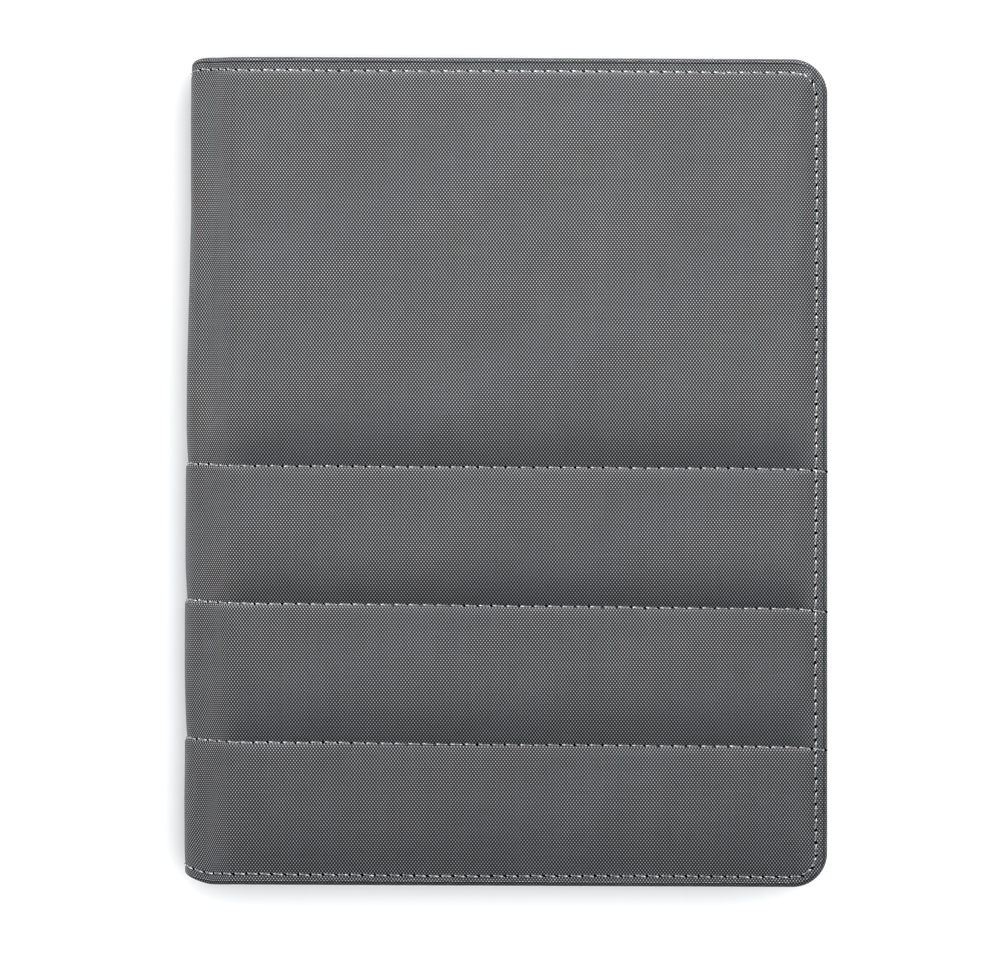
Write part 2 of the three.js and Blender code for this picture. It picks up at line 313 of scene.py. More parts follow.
def on_spine(girth):
    """1 round the spine roll, falling to 0 on the covers."""
    return smooth((ROLL_GIRTH + SPINE_FADE_PAST - np.abs(girth)) / (SPINE_FADE_SHARE * ROLL_GIRTH))


def base_relief(girth, y, side):
    """Depth of the shell cloth's outer face, before the needle holes."""
    girth = np.asarray(girth, float)
    y = np.asarray(y, float)
    across = np.abs(girth)
    roll = on_spine(girth)
    edge_share = 1 - (1 - SPINE_EDGE_SHARE) * roll
    head = 1 - edge_share * HEAD_SINK_SHARE * (1 - spring(HEAD - y - HEAD_MARGIN - ROW_LAND))
    tail = 1 - edge_share * (1 - droop(HEAD + y - TAIL_MARGIN - 2 * ROW_LAND, DROOPS[3]))
    fore = swell(FORE - across - FORE_MARGIN - 3 * ROW_LAND, FORE_SLOPE)
    share = 1 - (1 - SPINE_SEAM_SHARE) * roll
    seams = np.ones_like(across)
    groove = np.zeros_like(across)
    for k in range(len(SEAMS)):
        off = y - seam_line(k, girth)
        seams = seams * np.where(off > 0, droop(off - ROW_LAND, DROOPS[k]), spring(-off - ROW_LAND))
        gather = np.cos(2 * np.pi * across / QUILT_PITCH) * np.exp(-np.abs(off) / PUCKER_REACH)
        groove += GROOVE_DEPTH * np.exp(-(off / GROOVE_HALF_WIDTH) ** 2)
        groove += PUCKER * gather * (1 - np.exp(-(off / PUCKER_START) ** 2))
    puff = head * tail * fore * (1 - share * (1 - seams))
    out = across / SHOULDER_GIRTH
    bump = out ** SHOULDER_POWER * np.exp(SHOULDER_POWER * (1 - out))
    above = smooth((y - SEAMS[0] - 2) / SHOULDER_CHANGE)
    height = SHOULDER_CHANNELS + (SHOULDER_PANEL - SHOULDER_CHANNELS) * above
    shoulder = height * bump * (SHOULDER_BASE + (1 - SHOULDER_BASE) * puff)
    taper = smooth((y - 2) / SPINE_TAPER_RUN) * smooth((ROLL_GIRTH - 2 - across) / ROLL_GIRTH)
    waves = SLOW_WAVE[0] * ripple(girth, y, SLOW_WAVE[1], 11 + side)
    waves += SHORT_WAVE[0] * ripple(girth, y, SHORT_WAVE[1], 21 + side)
    depth = SINK * (1 - puff) + puff * (CREST_DEPTH + waves) + shoulder + SPINE_TAPER * taper
    return depth + groove * share


def border_depth(girth, y, side):
    """Depth of the sewn border's outer face at the head or the tail, whichever is nearer."""
    return base_relief(girth, np.copysign(HEAD - BORDER_MIDDLE, y), side)


def needle_dimples(girth, y, holes):
    """How far the cloth is pulled in round the nearest needle hole."""
    flat = np.stack([np.ravel(girth), np.ravel(y)], axis=1)
    pull = np.zeros(len(flat))
    for first in range(0, len(flat), 20000):
        part = flat[first:first + 20000]
        apart = ((part[:, None, :] - holes[None, :, :]) ** 2).sum(axis=2).min(axis=1)
        pull[first:first + 20000] = np.exp(-apart / DIMPLE_RADIUS ** 2)
    return pull.reshape(np.shape(girth))


def relief(girth, y, side):
    """Depth of the shell cloth's outer face."""
    holes = SHELL_HOLES[side]
    return base_relief(girth, y, side) + HOLE_DIMPLE * needle_dimples(girth, y, holes)


def resample(line, pitch):
    """Needle holes along a polyline, pitch apart."""
    line = np.asarray(line, float)
    steps = np.hypot(*np.diff(line, axis=0).T)
    reach = np.concatenate([[0], np.cumsum(steps)])
    count = max(1, int(round(reach[-1] / pitch)))
    at = np.linspace(0, reach[-1], count + 1)
    return np.stack([np.interp(at, reach, line[:, 0]), np.interp(at, reach, line[:, 1])], axis=1)


def perimeter_line(side):
    """The top-stitch of one cover and half the spine, from the spine along the head, the fore edge and the
    tail back to the spine."""
    fore = FORE - FORE_MARGIN
    head = HEAD - HEAD_MARGIN
    tail = -HEAD + TAIL_MARGIN
    points = []

    def turn_corner(end, toward, eighths):
        for k in eighths:
            angle = math.pi / 2 * k / 8
            drop = STITCH_CORNER * (1 - math.sin(angle))
            points.append((fore - STITCH_CORNER * (1 - math.cos(angle)), end - toward * drop))

    for g in np.linspace(0, fore - STITCH_CORNER, 120):
        points.append((g, head + HEAD_ROW_STRAY * smooth((15 - g) / 8) + END_ROW_WANDER * math.sin(g / 9)))
    turn_corner(head, 1, range(7, 0, -1))
    for y in np.linspace(head - STITCH_CORNER, tail + STITCH_CORNER, 140):
        points.append((fore + FORE_ROW_WANDER * math.sin(y / 21), y))
    turn_corner(tail, -1, range(1, 8))
    for g in np.linspace(fore - STITCH_CORNER, 0, 120):
        points.append((g, tail + TAIL_ROW_STRAY * smooth((40 - g) / 70) + END_ROW_WANDER * math.sin(g / 11)))
    return np.array(points) * (side, 1)


def quilt_line(k, side):
    """Quilting row k of one half, from the spine to the fore edge."""
    girths = np.linspace(0, FORE - 0.25, 160) * side
    return np.stack([girths, seam_line(k, girths)], axis=1)


PERIMETER_HOLES = {side: resample(perimeter_line(side), PERIMETER_PITCH) for side in (1, -1)}
QUILT_HOLES = {(k, side): resample(quilt_line(k, side), QUILT_PITCH) for k in range(3) for side in (1, -1)}
SHELL_HOLES = {
    side: np.concatenate([PERIMETER_HOLES[side], *(QUILT_HOLES[k, side] for k in range(3))])
    for side in (1, -1)
}


# ---------------------------------------- meshes
def make_object(name, points, faces, materials, cloth):
    """A mesh object from points in millimetres. cloth holds each point's place on the flat strip."""
    mesh = bpy.data.meshes.new(name)
    mesh.from_pydata((points * MM).tolist(), [], [list(f) for f in faces])
    mesh.validate()
    attribute = mesh.attributes.new("cloth", "FLOAT_VECTOR", "POINT")
    attribute.data.foreach_set("vector", np.asarray(cloth, np.float32).ravel())
    mesh.polygons.foreach_set("use_smooth", [True] * len(mesh.polygons))
    for material in materials:
        mesh.materials.append(material)
    piece = bpy.data.objects.new(name, mesh)
    bpy.context.scene.collection.objects.link(piece)
    return piece


def bend(piece, side):
    """Bakes a piece's placement into its points."""
    if side > 0:
        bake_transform(piece)
    else:
        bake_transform(piece)


def grid_faces(columns, rows, flip, offset=0):
    """The quads of a grid of points. flip turns them over."""
    i, j = np.meshgrid(np.arange(columns - 1), np.arange(rows - 1), indexing="ij")
    a = (i * rows + j).ravel() + offset
    quads = np.stack([a, a + rows, a + rows + 1, a + 1], axis=1)
    return quads[:, ::-1] if flip else quads


def corner_arc(inset):
    """Radius and centre of the outline's arc at a fore corner, inset by inset."""
    radius = CORNER - inset
    return radius, FORE - inset - radius, HEAD - inset - radius


def rounded(girth, y, inset):
    """Draws the fore corners of a rectangular grid in to the outline's arcs."""
    radius, centre_g, centre_y = corner_arc(inset)
    a = np.clip((np.abs(girth) - centre_g) / radius, 0, None)
    b = np.clip((np.abs(y) - centre_y) / radius, 0, None)
    corner = (a > 0) & (b > 0)
    new_g = np.where(corner, centre_g + radius * a * np.sqrt(1 - b * b / 2), np.abs(girth))
    new_y = np.where(corner, centre_y + radius * b * np.sqrt(1 - a * a / 2), np.abs(y))
    return np.copysign(new_g, girth), np.copysign(new_y, y)


def stations(low, high, step, fine=(), fine_reach=2.2, fine_step=0.22):
    """Grid lines between two ends, closer together around each fine place."""
    values = [low]
    while values[-1] < high - 1e-6:
        here = values[-1]
        near = any(abs(here - spot) < fine_reach for spot in fine)
        values.append(min(high, here + (fine_step if near else step)))
    if values[-1] - values[-2] < 0.3 * step:
        values.pop(-2)
    return np.array(values)


def rim_loop(columns, rows):
    """Indices of a grid's edge from the spine along the head, the fore edge and the tail to the spine."""
    head = [i * rows + rows - 1 for i in range(columns)]
    fore = [(columns - 1) * rows + j for j in range(rows - 2, -1, -1)]
    tail = [i * rows for i in range(columns - 2, -1, -1)]
    return np.array(head + fore + tail)


def outward(girth, y, inset):
    """The outline's outward direction on the strip at points of the outline inset by inset."""
    _, centre_g, centre_y = corner_arc(inset)
    a = np.abs(girth) - centre_g
    b = np.abs(y) - centre_y
    corner = (a > 1e-6) & (b > 1e-6)
    along_fore = (FORE - inset - np.abs(girth) < 1e-4) & ~corner
    og = np.where(corner, a, np.where(along_fore, 1.0, 0.0))
    oy = np.where(corner, b, np.where(along_fore, 0.0, 1.0))
    size = np.hypot(og, oy)
    return np.copysign(og / size, girth) * (og > 0), np.copysign(oy / size, y) * (oy > 0)


def edged_sheet(name, side, depth_at, materials, step, fine):
    """A sheet over half the wallet, closer-gridded at the fine heights and turned over its head, fore and
    tail edges."""
    girths = stations(0, FORE - EDGE_ROLL, step, [FORE - FORE_MARGIN], 1.3, 0.6 * step)
    girths = np.concatenate([[-OVERLAP], girths])
    heights = stations(-HEAD + EDGE_ROLL, HEAD - EDGE_ROLL, step, fine)
    gg, yy = np.meshgrid(girths, heights, indexing="ij")
    gg, yy = rounded(gg, yy, EDGE_ROLL)
    gg = gg * side
    depth = depth_at(gg, yy)
    depth[0] += OVERLAP_SINK
    columns, rows = gg.shape
    points = [place(gg, yy, depth).reshape(-1, 3)]
    cloth = [np.stack([gg, yy, depth], axis=-1).reshape(-1, 3)]
    faces = [grid_faces(columns, rows, side < 0)]
    loop = rim_loop(columns, rows)
    loop_g, loop_y, loop_d = (v.ravel()[loop] for v in (gg, yy, depth))
    out_g, out_y = outward(loop_g, loop_y, EDGE_ROLL)
    # Each ring round the turned edge, as (reach outwards, extra depth, distance on the flat cloth).
    rings = []
    for angle in np.arange(1, 9) * math.pi / 8:
        rings.append((EDGE_ROLL * math.sin(angle), EDGE_ROLL * (1 - math.cos(angle)), EDGE_ROLL * angle))
    for inward, extra in TURNED_IN:
        rings.append((-inward, 2 * EDGE_ROLL + extra, EDGE_ROLL * math.pi + inward))
    last = loop
    count = len(points[0])
    for reach, extra, unrolled in rings:
        points.append(place(loop_g + out_g * reach, loop_y + out_y * reach, loop_d + extra))
        flat = np.stack([loop_g + out_g * unrolled, loop_y + out_y * unrolled, loop_d + extra], axis=-1)
        cloth.append(flat)
        ring = np.arange(count, count + len(loop))
        quads = np.stack([last[:-1], last[1:], ring[1:], ring[:-1]], axis=1)
        faces.append(quads[:, ::-1] if side > 0 else quads)
        last = ring
        count += len(loop)
    return make_object(name, np.concatenate(points), np.concatenate(faces), materials, np.concatenate(cloth))


# ---------------------------------------- materials
def new_material(name):
    material = bpy.data.materials.new(name)
    material.use_nodes = True
    nodes = material.node_tree.nodes
    nodes.clear()
    output = nodes.new("ShaderNodeOutputMaterial")
    shader = nodes.new("ShaderNodeBsdfPrincipled")
    material.node_tree.links.new(shader.outputs["BSDF"], output.inputs["Surface"])
    return material, shader


class Graph:
    """Short names for the few node kinds that the materials use."""

    def __init__(self, material):
        self.tree = material.node_tree

    def node(self, kind, **settings):
        made = self.tree.nodes.new(kind)
        for key, value in settings.items():
            setattr(made, key, value)
        return made

    def link(self, source, target):
        self.tree.links.new(source, target)

    def feed(self, node, index, value):
        if isinstance(value, (int, float)):
            node.inputs[index].default_value = value
        else:
            self.link(value, node.inputs[index])

    def math(self, operation, a, b=0.0):
        made = self.node("ShaderNodeMath", operation=operation)
        self.feed(made, 0, a)
        self.feed(made, 1, b)
        return made.outputs[0]

    def cloth(self):
        """The cloth attribute, whole and as its three numbers, in millimetres."""
        attribute = self.node("ShaderNodeAttribute", attribute_name="cloth")
        split = self.node("ShaderNodeSeparateXYZ")
        self.link(attribute.outputs["Vector"], split.inputs[0])
        return attribute.outputs["Vector"], split.outputs[0], split.outputs[1], split.outputs[2]

    def noise(self, vector, scale, detail=2.0, roughness=0.5):
        made = self.node("ShaderNodeTexNoise")
        self.link(vector, made.inputs["Vector"])
        made.inputs["Scale"].default_value = scale
        made.inputs["Detail"].default_value = detail
        made.inputs["Roughness"].default_value = roughness
        return made.outputs["Fac"]

    def stretch(self, vector, factors):
        made = self.node("ShaderNodeVectorMath", operation="MULTIPLY")
        self.link(vector, made.inputs[0])
        made.inputs[1].default_value = factors
        return made.outputs[0]

    def map(self, value, from_low, from_high, to_low, to_high, smooth_step=False):
        made = self.node("ShaderNodeMapRange")
        made.interpolation_type = "SMOOTHSTEP" if smooth_step else "LINEAR"
        for index, item in enumerate((value, from_low, from_high, to_low, to_high)):
            self.feed(made, index, item)
        return made.outputs["Result"]

    def mix(self, factor, a, b):
        """A blend of two fixed colours, which a colour mix has at inputs 6 and 7."""
        made = self.node("ShaderNodeMix", data_type="RGBA")
        self.feed(made, 0, factor)
        made.inputs[6].default_value = (*a, 1)
        made.inputs[7].default_value = (*b, 1)
        return made.outputs[2]

    def scale_colour(self, colour, factor):
        made = self.node("ShaderNodeVectorMath", operation="SCALE")
        self.link(colour, made.inputs[0])
        self.feed(made, "Scale", factor)
        return made.outputs[0]

    def bump(self, height, distance_mm, strength):
        made = self.node("ShaderNodeBump")
        self.link(height, made.inputs["Height"])
        made.inputs["Distance"].default_value = distance_mm * MM
        made.inputs["Strength"].default_value = strength
        return made.outputs[0]


def woven(name, warp, weft, dark, light, roughness, sheen, crowns=(-0.15, 0.85), relief_mm=0.05, edge_shade=0.0):
    """Plain-weave cloth. warp and weft are the yarn spacings in millimetres, dark and light the colours of
    the gaps and of the yarns' crowns, whose contrast holds painted shade in the gaps and, on the shell, a
    painted highlight on the crowns, and the last argument how much painted shade darkens the turned edge."""
    material, shader = new_material(name)
    graph = Graph(material)
    vector, girth, y, _ = graph.cloth()
    wander = graph.noise(graph.stretch(vector, (0.35, 0.35, 0)), 1.0)
    drift = graph.math("MULTIPLY", graph.math("SUBTRACT", wander, 0.5), 0.5)
    u = graph.math("ADD", graph.math("DIVIDE", girth, warp), drift)
    v = graph.math("ADD", graph.math("DIVIDE", y, weft), drift)
    across = graph.math("SINE", graph.math("MULTIPLY", u, math.pi))
    along = graph.math("SINE", graph.math("MULTIPLY", v, math.pi))
    weave = graph.math("MULTIPLY", across, along)
    over = graph.map(weave, crowns[0], crowns[1], 0, 1, smooth_step=True)
    warp_tone = graph.noise(graph.stretch(vector, (1 / warp, 0.05, 0)), 0.9, 3.0, 0.7)
    weft_tone = graph.noise(graph.stretch(vector, (0.05, 1 / weft, 0)), 0.9, 3.0, 0.7)
    mottle = graph.noise(graph.stretch(vector, (0.03, 0.03, 0)), 1.0, 4.0, 0.6)
    warp_shade = graph.map(warp_tone, 0.25, 0.75, -0.09, 0.09)
    weft_shade = graph.map(weft_tone, 0.25, 0.75, -0.09, 0.09)
    tone = graph.math("ADD", warp_shade, weft_shade)
    tone = graph.math("ADD", tone, graph.map(mottle, 0.3, 0.7, 0.95, 1.05))
    # The gap-to-crown contrast is partly the weave's own pattern and partly painted: painted shade in the
    # gaps between yarns and, on the shell, a painted highlight on the glossy crowns.
    colour = graph.mix(over, dark, light)
    # Painted shade: the turned edge is darkened in the colour, with a little random variation, standing in
    # for the shade where the cloth rolls away from the light.
    if edge_shade:
        edge = graph.node("ShaderNodeAttribute", attribute_name="edge").outputs["Fac"]
        painted_shade = graph.map(graph.noise(vector, 1.4, 4.0), 0.3, 0.7, 0.7 * edge_shade, edge_shade)
        tone = graph.math("SUBTRACT", tone, graph.math("MULTIPLY", edge, painted_shade))
    graph.link(graph.scale_colour(colour, tone), shader.inputs["Base Color"])
    crown = graph.math("POWER", graph.math("ABSOLUTE", weave), 0.6)
    fibre = graph.noise(vector, 14.0, 2.0)
    height = graph.math("ADD", crown, graph.math("MULTIPLY", fibre, 0.25))
    graph.link(graph.bump(height, relief_mm, 0.8), shader.inputs["Normal"])
    graph.link(graph.map(over, 0, 1, roughness + 0.12, roughness - 0.06), shader.inputs["Roughness"])
    shader.inputs["Specular IOR Level"].default_value = 0.35
    shader.inputs["Sheen Weight"].default_value = sheen
    shader.inputs["Sheen Roughness"].default_value = 0.45
    return material


def thread_material(name, tone, pressed):
    """Bonded two-ply thread: fine twist in the bump, and each stitch painted near white where it turns into
    its holes, a painted highlight there, and greyer where it's pressed into the cloth between them."""
    material, shader = new_material(name)
    graph = Graph(material)
    vector, along, around, remaining = graph.cloth()
    # Painted highlight: the stitch's colour is lightened towards both ends, where the thread bends into its
    # holes and catches the light.
    first = graph.map(along, 0.45, 1.05, 1, 0, smooth_step=True)
    last = graph.map(remaining, 0.3, 0.75, 1, 0, smooth_step=True)
    turned = graph.math("MAXIMUM", first, last)
    twist = graph.math("ADD", graph.math("MULTIPLY", along, 3.1), around)
    ply = graph.math("SINE", graph.math("MULTIPLY", twist, 2 * math.pi))
    fuzz = graph.noise(graph.stretch(vector, (1.2, 1, 1)), 6.0, 3.0)
    tint = graph.map(ply, -1, 1, 0.78, 1.05)
    tint = graph.math("MULTIPLY", tint, graph.map(fuzz, 0.3, 0.7, 0.9, 1.06))
    base = graph.mix(turned, pressed, tone)
    graph.link(graph.scale_colour(base, tint), shader.inputs["Base Color"])
    graph.link(graph.bump(ply, 0.03, 0.7), shader.inputs["Normal"])
    shader.inputs["Roughness"].default_value = 0.5
    shader.inputs["Sheen Weight"].default_value = 0.2
    return material


def plain_material(name, colour, roughness, scale=1.2, spread=0.08, shine=0.5):
    """A matte surface with a little variation, for the painted shade in the needle holes, boards and hidden
    padding.
    """
    material, shader = new_material(name)
    graph = Graph(material)
    coordinates = graph.node("ShaderNodeTexCoord").outputs["Object"]
    grain = graph.noise(graph.stretch(coordinates, (1 / MM,) * 3), scale, 4.0, 0.6)
    base = graph.mix(0.0, colour, colour)
    tone = graph.map(grain, 0.3, 0.7, 1 - spread, 1 + spread)
    graph.link(graph.scale_colour(base, tone), shader.inputs["Base Color"])
    graph.link(graph.bump(grain, 0.05, 0.5), shader.inputs["Normal"])
    shader.inputs["Roughness"].default_value = roughness
    shader.inputs["Specular IOR Level"].default_value = shine
    return material


# The shell's near-black gap colour is painted shade between the yarns, and its light crown colour is the
# yarn's grey with a painted highlight of the glossy crowns.
SHELL_GAP_SHADE = (0.004, 0.0055, 0.0075)
SHELL_CROWN_AND_HIGHLIGHT = (0.455, 0.468, 0.484)
LINING_DARK = (0.02, 0.021, 0.023)
LINING_LIGHT = (0.055, 0.058, 0.062)
BINDING_LIGHT = (0.06, 0.062, 0.066)
# The shell's last argument darkens its turned edge with painted shade.
SHELL = woven("shell_oxford", 0.265, 0.35, SHELL_GAP_SHADE, SHELL_CROWN_AND_HIGHLIGHT, 0.52, 0.03, crowns=(0.08, 0.88), edge_shade=0.5)
LINING = woven("lining_taffeta", 0.2, 0.24, LINING_DARK, LINING_LIGHT, 0.6, 0.15, relief_mm=0.03)
BINDING = woven("binding_grosgrain", 0.5, 0.12, LINING_DARK, BINDING_LIGHT, 0.55, 0.2)
# The near-white colour is the painted highlight at the stitches' ends; the grey is the rest of each stitch.
THREAD = thread_material("thread_light", (0.97, 0.97, 0.96), (0.24, 0.245, 0.25))
# Painted shade: near black, laid over each needle hole in place of the shade inside it.
HOLE_SHADE = plain_material("needle_hole_shade", (0.001, 0.001, 0.001), 0.95, shine=0.0)
WADDING = plain_material("wadding", (0.06, 0.062, 0.065), 0.95, 3.0, 0.12)
BOARD = plain_material("board", (0.16, 0.165, 0.17), 0.6)


# ---------------------------------------- shell
def mark_edge(piece):
    """Gives each point an edge value, 1 on the turned edge and 0 away from it, for the painted shade there.
    """
    mesh = piece.data
    cloth = np.zeros(len(mesh.vertices) * 3, np.float32)
    mesh.attributes["cloth"].data.foreach_get("vector", cloth)
    cloth = cloth.reshape(-1, 3)
    reach = np.minimum(FORE - np.abs(cloth[:, 0]), HEAD - np.abs(cloth[:, 1]))
    attribute = mesh.attributes.new("edge", "FLOAT", "POINT")
    attribute.data.foreach_set("value", (1 - smooth(np.abs(reach) / EDGE_ROLL)).astype(np.float32))


def shell(side, title):
    """The shell cloth of one cover and half the spine."""
    rows = [*SEAMS, HEAD - HEAD_MARGIN, -HEAD + TAIL_MARGIN]

    def depth(girth, y):
        return relief(girth, y, side)

    piece = edged_sheet(f"{title}_shell", side, depth, [SHELL], SHELL_STEP, rows)
    mark_edge(piece)
    bend(piece, side)
    return piece


# ---------------------------------------- inner layers
def perimeter_pull(girth, y):
    """How much the perimeter seam draws the inner layers towards the shell, from 0 to 1."""
    to_head = np.abs(HEAD - y - HEAD_MARGIN)
    to_tail = np.abs(HEAD + y - TAIL_MARGIN)
    to_fore = np.abs(FORE - np.abs(girth) - FORE_MARGIN)
    nearest = np.minimum(np.minimum(to_head, to_tail), to_fore)
    edge = np.minimum(np.minimum(HEAD - y, HEAD + y), FORE - np.abs(girth))
    return np.exp(-(nearest / 0.5) ** 2) + 0.6 * smooth((1.9 - edge) / 1.2)


def lining_face(girth, y, side):
    """Depth of the seen face of the lining, which follows the drawn-in border at the head and the tail."""
    slack = LINING_SLACK[0] * ripple(girth, y, LINING_SLACK[1], 31 + side)
    crease = LINING_CREASE * np.exp(-((np.abs(girth) - ROLL_GIRTH) / LINING_CREASE_WIDTH) ** 2)
    start = np.where(girth * side < 0, LINING_OVERLAP_LIFT, 0)
    seat = LINING_DEPTH - border_depth(girth, y, side) - 2 * EDGE_ROLL - HEM_GAP
    reach = smooth((HEM_SEAT_REACH - np.minimum(HEAD - y, HEAD + y)) / HEM_SEAT_FADE)
    over_hem = smooth((MOUTH + 0.3 - np.abs(girth)) / 1.5)
    seat = np.where(seat > 0, seat, seat * over_hem) * reach
    pull = perimeter_pull(girth, y)
    return LINING_DEPTH + slack * (1 - pull) - LINING_HOLD * pull + crease - start - seat


def pocket_face(girth, y, side):
    """Depth of the seen face of a cover's full-height pocket."""
    away = smooth((np.abs(girth) - MOUTH) / POCKET_BOW_RUN)
    bow = POCKET_BOW * np.cos(np.pi * y / (2 * HEAD)) * (1 - away)
    slack = POCKET_SLACK[0] * ripple(girth, y, POCKET_SLACK[1], 41 + side)
    pull = perimeter_pull(girth, y)
    return POCKET_DEPTH + (bow + slack) * (1 - np.minimum(pull, 1)) - POCKET_HOLD * pull


def card_face(k, girth, y):
    """Depth of the seen face of card pocket k."""
    reach = np.clip((np.abs(girth) - CARD_SIDE) / (FORE - FORE_MARGIN - CARD_SIDE), 0, 1)
    bow = CARD_BOW * np.sin(np.pi * reach) * smooth((y + HEAD) / (CARD_MOUTHS[k] + HEAD))
    slack = CARD_SLACK[0] * ripple(girth, y, CARD_SLACK[1], 51 + k)
    side_hold = np.exp(-((np.abs(girth) - CARD_SIDE_ROW) / 0.6) ** 2)
    hold = np.minimum(perimeter_pull(girth, y) + side_hold, 1)
    return CARD_DEPTH + CARD_STEP * k + (bow + slack) * (1 - hold) - CARD_HOLD * hold


def inner_face(girth, y, side):
    """Depth of the seen face of whatever lies innermost at a place on the strip."""
    across = np.abs(girth)
    tape = BINDING_BULK - PANEL_THICKNESS / 2
    bound = (across > MOUTH) & (across < MOUTH + BINDING_WIDTH)
    depth = np.where(across > MOUTH, pocket_face(girth, y, side), lining_face(girth, y, side))
    depth = depth + np.where(bound, tape, 0)
    if side > 0:
        for k, mouth in enumerate(CARD_MOUTHS):
            under = (across > CARD_SIDE) & (y < mouth)
            bound = y > mouth - BINDING_WIDTH
            depth = np.where(under, card_face(k, girth, y) + np.where(bound, tape, 0), depth)
    return depth


def slab(name, girths, heights, side, depth, thickness, material, inset=None):
    """A closed cloth panel. depth gives its seen face; it lies thickness thick towards the shell."""
    gg, yy = np.meshgrid(girths, heights, indexing="ij")
    if inset is not None:
        gg, yy = rounded(gg, yy, inset)
    gg = gg * side
    face = depth(gg, yy)
    columns, rows = gg.shape
    loop = np.array(
        [i * rows for i in range(columns)]
        + [(columns - 1) * rows + j for j in range(1, rows)]
        + [i * rows + rows - 1 for i in range(columns - 2, -1, -1)]
        + [j for j in range(rows - 2, 0, -1)]
    )
    count = columns * rows
    middle_g = (gg.max() + gg.min()) / 2
    middle_y = (yy.max() + yy.min()) / 2
    grow_g = np.sign(gg.ravel()[loop] - middle_g) * 0.3 * thickness
    grow_y = np.sign(yy.ravel()[loop] - middle_y) * 0.3 * thickness
    flat_g = np.concatenate([gg.ravel(), gg.ravel(), gg.ravel()[loop] + grow_g])
    flat_y = np.concatenate([yy.ravel(), yy.ravel(), yy.ravel()[loop] + grow_y])
    rim_depth = face.ravel()[loop] - thickness / 2
    depths = np.concatenate([face.ravel(), face.ravel() - thickness, rim_depth])
    top = grid_faces(columns, rows, side > 0)
    bottom = grid_faces(columns, rows, side < 0, count)
    ring = np.arange(len(loop)) + 2 * count
    after = np.roll(np.arange(len(loop)), -1)
    upper = np.stack([loop, loop[after], ring[after], ring], axis=1)
    lower = np.stack([ring, ring[after], loop[after] + count, loop + count], axis=1)
    if side < 0:
        upper, lower = upper[:, ::-1], lower[:, ::-1]
    points = place(flat_g, flat_y, depths)
    cloth = np.stack([flat_g, flat_y, depths], axis=-1)
    faces = [*top, *bottom, *upper, *lower]
    return make_object(name, points, faces, [material], cloth)


def lining(side, title):
    """The lining of one cover and half the spine."""

    def depth(girth, y):
        return lining_face(girth, y, side)

    girths = np.concatenate([[-OVERLAP], stations(0, LINING_FORE, PANEL_STEP)])
    heights = stations(-LINING_HEAD, LINING_HEAD, PANEL_STEP)
    piece = slab(f"{title}_lining_cloth", girths, heights, side, depth, PANEL_THICKNESS, LINING, LINING_INSET)
    bend(piece, side)
    return piece


def tape_profile():
    """The folded tape's section, as (distance into the pocket, depth), from the fold round to the fold."""
    profile = []
    for k in range(7):
        angle = math.pi * (0.5 + k / 6)
        profile.append((BINDING_NOSE * (1 + math.cos(angle)), BINDING_BULK * math.sin(angle)))
    flat = [BINDING_NOSE + (BINDING_WIDTH - 0.4) * k / 12 for k in range(1, 12)]
    profile += [(distance, -BINDING_BULK) for distance in flat]
    for k in range(5):
        angle = math.pi * (-0.5 + k / 4)
        profile.append((BINDING_WIDTH - 0.14 + 0.12 * math.cos(angle), 0.9 * BINDING_BULK * math.sin(angle)))
    profile += [(distance, BINDING_BULK) for distance in reversed(flat)]
    return np.array(profile)


def binding(name, body, side, start, end, across, depth):
    """A folded tape over a pocket's mouth, run from start to end on the strip. across points from the
    mouth's edge into the pocket, and depth gives the pocket's seen face."""
    start = np.array(start, float)
    end = np.array(end, float)
    length = np.hypot(*(end - start))
    count = int(length / TAPE_STEP) + 1
    along = np.linspace(0, 1, count)
    base = start + (end - start) * along[:, None]
    profile = tape_profile()
    into, bulk = profile[None, :, 0], profile[None, :, 1]
    wobble = 0.05 * ripple(along * length, np.zeros(count), 17, len(name))
    reach = into + wobble[:, None]
    pucker = 0.035 * np.cos(2 * np.pi * along * length / QUILT_PITCH)[:, None]
    row = np.exp(-((into - BINDING_ROW) / 0.55) ** 2)
    bulk = bulk * (1 - 0.3 * row) + pucker * row * np.sign(bulk)
    g = base[:, None, 0] + across[0] * reach
    y = base[:, None, 1] + across[1] * reach
    points = place(g * side, y, depth(np.abs(g), y) - PANEL_THICKNESS / 2 + bulk).reshape(-1, 3)
    around = np.cumsum(np.hypot(*(np.roll(profile, -1, axis=0) - profile).T))
    marks = np.broadcast_arrays((along * length)[:, None], around[None, :], 0.0)
    cloth = np.stack(marks, axis=-1).reshape(-1, 3)
    sides = len(profile)
    i, j = np.meshgrid(np.arange(count - 1), np.arange(sides), indexing="ij")
    a = (i * sides + j).ravel()
    b = (i * sides + (j + 1) % sides).ravel()
    quads = np.stack([a, b, b + sides, a + sides], axis=1)
    flip = (across[0] != 0) == (side > 0)
    quads = quads[:, ::-1] if flip else quads
    ends = [range(sides), range((count - 1) * sides, count * sides)]
    piece = make_object(name, points, [*quads, *ends], [BINDING], cloth)
    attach(piece, body)
    return piece


